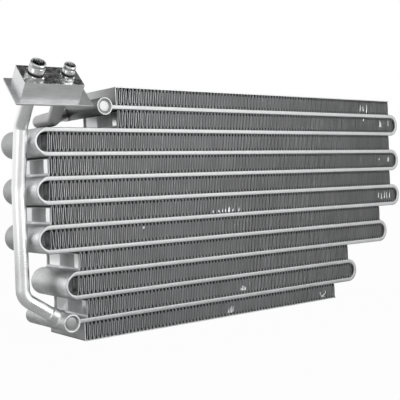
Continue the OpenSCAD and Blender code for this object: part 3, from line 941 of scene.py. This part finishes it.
def camera_axes():
    """The camera's axes: to the right, up, and away from what it looks at."""
    yaw, pitch, roll = map(math.radians, CAMERA_TURN)
    ahead = np.array([math.sin(yaw) * math.cos(pitch), math.cos(yaw) * math.cos(pitch), math.sin(pitch)])
    right = np.array([math.cos(yaw), -math.sin(yaw), 0])
    up = np.cross(right, ahead)
    across = math.cos(roll) * right + math.sin(roll) * up
    upward = -math.sin(roll) * right + math.cos(roll) * up
    return across, upward, -ahead


def floor_finish(name, away):
    """White to the camera. In the metal's reflections it glows with painted shade: dark near the part, and
    white far off and behind it, seen from the camera."""
    material, s = new_material(name)
    camera, glossy, clear = s.rays()
    matt = s.node("ShaderNodeBsdfDiffuse", inputs={"Color": (0.55, 0.55, 0.55, 1)})
    far = s.node("ShaderNodeVectorMath", {"operation": "LENGTH"}, {0: s.place()}, "Value")
    behind = s.along(s.place(), -away)
    # Painted shade in the glow that the metal reflects: dark near the part
    white = s.spread(far, 0.6, 2.0, 0.03, 0.9).at_least(s.spread(behind, 0.05, 0.5, 0.03, 0.85))
    glow = s.node("ShaderNodeEmission", inputs={"Color": (1, 1, 1, 1), "Strength": 1.0})
    share = camera.at_least(clear) * 0.97 + glossy * white
    mixed = s.node("ShaderNodeMixShader", inputs={0: share, 1: matt, 2: glow})
    s.node("ShaderNodeOutputMaterial", inputs={"Surface": mixed})
    return material


def studio_world(away):
    """White all round. The metal reflects it darker overhead and behind the camera, and what it lights
    gets a weaker share."""
    world = bpy.data.worlds.new("studio")
    s = Shader(world)
    camera, glossy, clear = s.rays()
    direction = s.node("ShaderNodeTexCoord", output="Generated")
    ceiling = s.spread(s.part(direction, "Z"), 0.6, 0.9, 1.0, 0.12)
    opening = s.spread(s.along(direction, away), 0.985, 0.998, 1.0, 0.72)
    level = camera.at_least(clear).at_least(glossy * ceiling * opening)
    seen = camera.at_least(glossy).at_least(clear)
    strength = level * seen + (1 - seen) * 0.6
    light = s.node("ShaderNodeBackground", inputs={"Color": (1, 1, 1, 1), "Strength": strength})
    s.node("ShaderNodeOutputWorld", inputs={"Surface": light})
    return world


class CORE_OT_stage(bpy.types.Operator):
    """Adds the camera, the pale floor, the soft lamps and the world."""

    bl_idname = "core.stage"
    bl_label = "Stage"

    def execute(self, context):
        scene = context.scene
        scene.view_settings.view_transform = "Standard"
        data = bpy.data.cameras.new("camera")
        data.sensor_width, data.lens = SENSOR, FOCAL_PIXELS / IMAGE_PIXELS * SENSOR
        data.clip_start, data.clip_end = 0.01, 50.0
        axes = camera_axes()
        scene.camera = aimed("camera", data, CAMERA_PLACE, *axes)

        shell = Shell()
        profile = [(0, FLOOR_RADIUS), (FLOOR_DEPTH, FLOOR_RADIUS)]
        shell.closed(turned((0, 0, -FLOOR_DROP), (0, 0, -1), profile, 96))
        floor = bpy.data.objects.new("floor", shell.mesh("floor", 30))
        scene.collection.objects.link(floor)
        floor.data.materials.append(floor_finish("floor", axes[2]))
        scene.world = studio_world(axes[2])

        for name, spot, size, power in (
            ("key", (0.9, -1.9, 0.58), 1.1, 12.0),
            ("side", (-2.0, -0.9, 0.5), 1.0, 4.0),
        ):
            lamp = bpy.data.lights.new(name, "AREA")
            lamp.size, lamp.energy = size, power
            away = unit(np.array(spot) - LAMP_AIM)
            side = unit(np.cross([0, 0, 1], away))
            aimed(name, lamp, spot, side, np.cross(away, side), away)
        return {"FINISHED"}


class CORE_OT_tube(bpy.types.Operator):
    """Adds the folded flat tube."""

    bl_idname = "core.tube"
    bl_label = "Folded tube"

    def execute(self, context):
        scene = context.scene
        finish = tube_finish("tube", scene.core_colours.tube)
        mesh = serpentine_mesh(scene.core_tube)
        add_piece("folded_tube", mesh, finish, "tube_aluminium", "serpentine_tube")
        return {"FINISHED"}


class CORE_OT_fins(bpy.types.Operator):
    """Adds the eleven corrugated, louvred fin sheets."""

    bl_idname = "core.fins"
    bl_label = "Fins"

    def execute(self, context):
        scene = context.scene
        finish = fin_finish("fins", scene.core_colours.fin)
        for number, node in enumerate(ROWS):
            mesh = fin_mesh(scene.core_fins, number)
            add_piece(f"fins_{number + 1:02d}", mesh, finish, "fin_aluminium", node)
        return {"FINISHED"}


class CORE_OT_plates(bpy.types.Operator):
    """Adds the top and bottom side plates with their bent ends."""

    bl_idname = "core.plates"
    bl_label = "Side plates"

    def execute(self, context):
        plate = context.scene.core_colours.plate
        # Per plate: a tone that is painted light, lighter on the bottom plate, and the painted shade of its
        # bent end, less on the bottom one
        for name, upside_down, tone, painted_shade in (
            ("top_side_plate", True, 1.0, 0.6),
            ("bottom_side_plate", False, 1.35, 0.15),
        ):
            end = node_box(name)[0][0] + 0.5
            finish = plate_finish(name, shade(plate, tone), end, painted_shade)
            mesh = plate_mesh(name, upside_down)
            soften(add_piece(name.replace("side_", ""), mesh, finish, "sheet_aluminium", name), 0.12)
        return {"FINISHED"}


class CORE_OT_headers(bpy.types.Operator):
    """Adds the two headers and their four caps."""

    bl_idname = "core.headers"
    bl_label = "Headers and caps"

    def execute(self, context):
        colours = context.scene.core_colours
        # Per level, the ring and cap tones are lit and shaded copies of one colour, painted light, and the
        # outer side gets painted shade, more on the top header
        for level, centre, ring_painted_light, painted_outer_shade, cap_painted_light in (
            ("top", TOP_HEADER, 1.25, 0.6, 0.49),
            ("bottom", BOTTOM_HEADER, 1.7, 0.2, 0.4),
        ):
            name = f"{level}_header"
            ring = tube_finish(name, shade(colours.tube, ring_painted_light))
            bright = pipe_finish(f"{level}_caps", shade(colours.pipe, cap_painted_light), 0.42, 0.52)
            add_piece(f"{level}_pipe_header", header_mesh(name, centre, painted_outer_shade), ring, "tube_aluminium", name)
            for end in ("front", "rear"):
                node = f"{name}_{end}_cap"
                add_piece(f"{level}_{end}_cap", cap_mesh(node), bright, "bright_aluminium", node)
        return {"FINISHED"}


class CORE_OT_pipes(bpy.types.Operator):
    """Adds the suction pipe with its sleeve, and the liquid pipe."""

    bl_idname = "core.pipes"
    bl_label = "Pipes"

    def execute(self, context):
        scene = context.scene
        pipes, block, colour = scene.core_pipes, scene.core_block, scene.core_colours.pipe
        suction, liquid = suction_points(pipes, block), liquid_points(pipes, block)

        bright = pipe_finish("suction", colour, 0.24, 0.36)
        shell = Shell()
        shell.closed(carried(*route(*suction)))
        add_piece("suction_line", shell.mesh("suction_line", 50), bright, "bright_aluminium", "suction_pipe")

        dull = pipe_finish("liquid", shade(colour, 0.47), 0.3, 0.42)
        shell = Shell()
        shell.closed(carried(*route(*liquid)))
        fillet(shell, *entry(liquid[0], pipes), pipes.liquid / 2, header_out("top_header"))
        add_piece("liquid_line", shell.mesh("liquid_line", 50), dull, "tube_aluminium", "liquid_pipe")

        satin = pipe_finish("sleeve", shade(colour, 0.8), 0.32, 0.45)
        shell = Shell()
        collar(shell, pipes, suction[0])
        fillet(shell, *entry(suction[0], pipes), pipes.sleeve / 2, header_out("bottom_header"))
        mesh = shell.mesh("suction_collar", 50)
        add_piece("suction_collar", mesh, satin, "bright_aluminium", "suction_sleeve")
        return {"FINISHED"}


class CORE_OT_block(bpy.types.Operator):
    """Adds the connection block and the flange plate under it."""

    bl_idname = "core.block"
    bl_label = "Block and flange"

    def execute(self, context):
        scene = context.scene
        block = scene.core_block
        out = block_axes(block)[2]
        top = float(out @ np.array(block.corner)) * MM
        for name, node, tone, edge in (
            ("block", "connection_block", 1.0, 0.75),
            ("flange", "flange_plate", 0.82, 0.3),
        ):
            colour = shade(scene.core_colours.block, tone)
            finish = block_finish(name, colour, (-block.tilt, 0, -block.turn), out, top)
            soften(add_piece(name, solid_copy(node), finish, "block_aluminium", node), edge)
        return {"FINISHED"}


class CORE_OT_fittings(bpy.types.Operator):
    """Adds the two male fittings and finishes their seals."""

    bl_idname = "core.fittings"
    bl_label = "Fittings and seals"

    def execute(self, context):
        scene = context.scene
        block = scene.core_block
        finish = pipe_finish("fittings", shade(scene.core_colours.pipe, 0.68), 0.07, 0.16)
        for name, at, d, hexagon, height, bore in (
            ("suction_fitting", block.suction_at, 15.8, 19.0, 17.0, 10.4),
            ("liquid_fitting", block.liquid_at, 12.6, 15.0, 15.2, 7.2),
        ):
            mesh = fitting_mesh(name, block, at, d, hexagon, height, bore)
            add_piece(name.replace("_fitting", "_union"), mesh, finish, "bright_aluminium", name)
        rubber = rubber_finish("seals", scene.core_colours.rubber)
        for name in ("suction_seal", "liquid_seal"):
            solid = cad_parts[name]
            solid.data.materials.clear()
            solid.data.materials.append(rubber)
        return {"FINISHED"}


class CORE_PT_panel(bpy.types.Panel):
    """Lists the pieces and their sizes."""

    bl_label = "Evaporator core"
    bl_space_type = "VIEW_3D"
    bl_region_type = "UI"
    bl_category = "Evaporator"

    def draw(self, context):
        for operator in OPERATORS:
            self.layout.operator(operator.bl_idname)
        for group in GROUPS:
            sizes = getattr(context.scene, group)
            box = self.layout.box()
            for key in sizes.bl_rna.properties.keys():
                if key not in {"rna_type", "name"}:
                    box.prop(sizes, key)


OPERATORS = (
    CORE_OT_stage,
    CORE_OT_tube,
    CORE_OT_fins,
    CORE_OT_plates,
    CORE_OT_headers,
    CORE_OT_pipes,
    CORE_OT_block,
    CORE_OT_fittings,
)
GROUPS = {
    "core_tube": TubeSizes,
    "core_fins": FinSizes,
    "core_pipes": PipeSizes,
    "core_block": BlockSizes,
    "core_colours": Colours,
}


def register():
    """Registers the sizes, the operators and the panel."""
    for name, group in GROUPS.items():
        bpy.utils.register_class(group)
        setattr(bpy.types.Scene, name, PointerProperty(type=group))
    for operator in OPERATORS:
        bpy.utils.register_class(operator)
    bpy.utils.register_class(CORE_PT_panel)


def unregister():
    """Takes them off again."""
    bpy.utils.unregister_class(CORE_PT_panel)
    for operator in reversed(OPERATORS):
        bpy.utils.unregister_class(operator)
    for name, group in reversed(GROUPS.items()):
        delattr(bpy.types.Scene, name)
        bpy.utils.unregister_class(group)


def main():
    """Registers the add-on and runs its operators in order."""
    register()
    for operator in OPERATORS:
        prefix, name = operator.bl_idname.split(".")
        getattr(getattr(bpy.ops, prefix), name)()


if __name__ == "__main__":
    main()
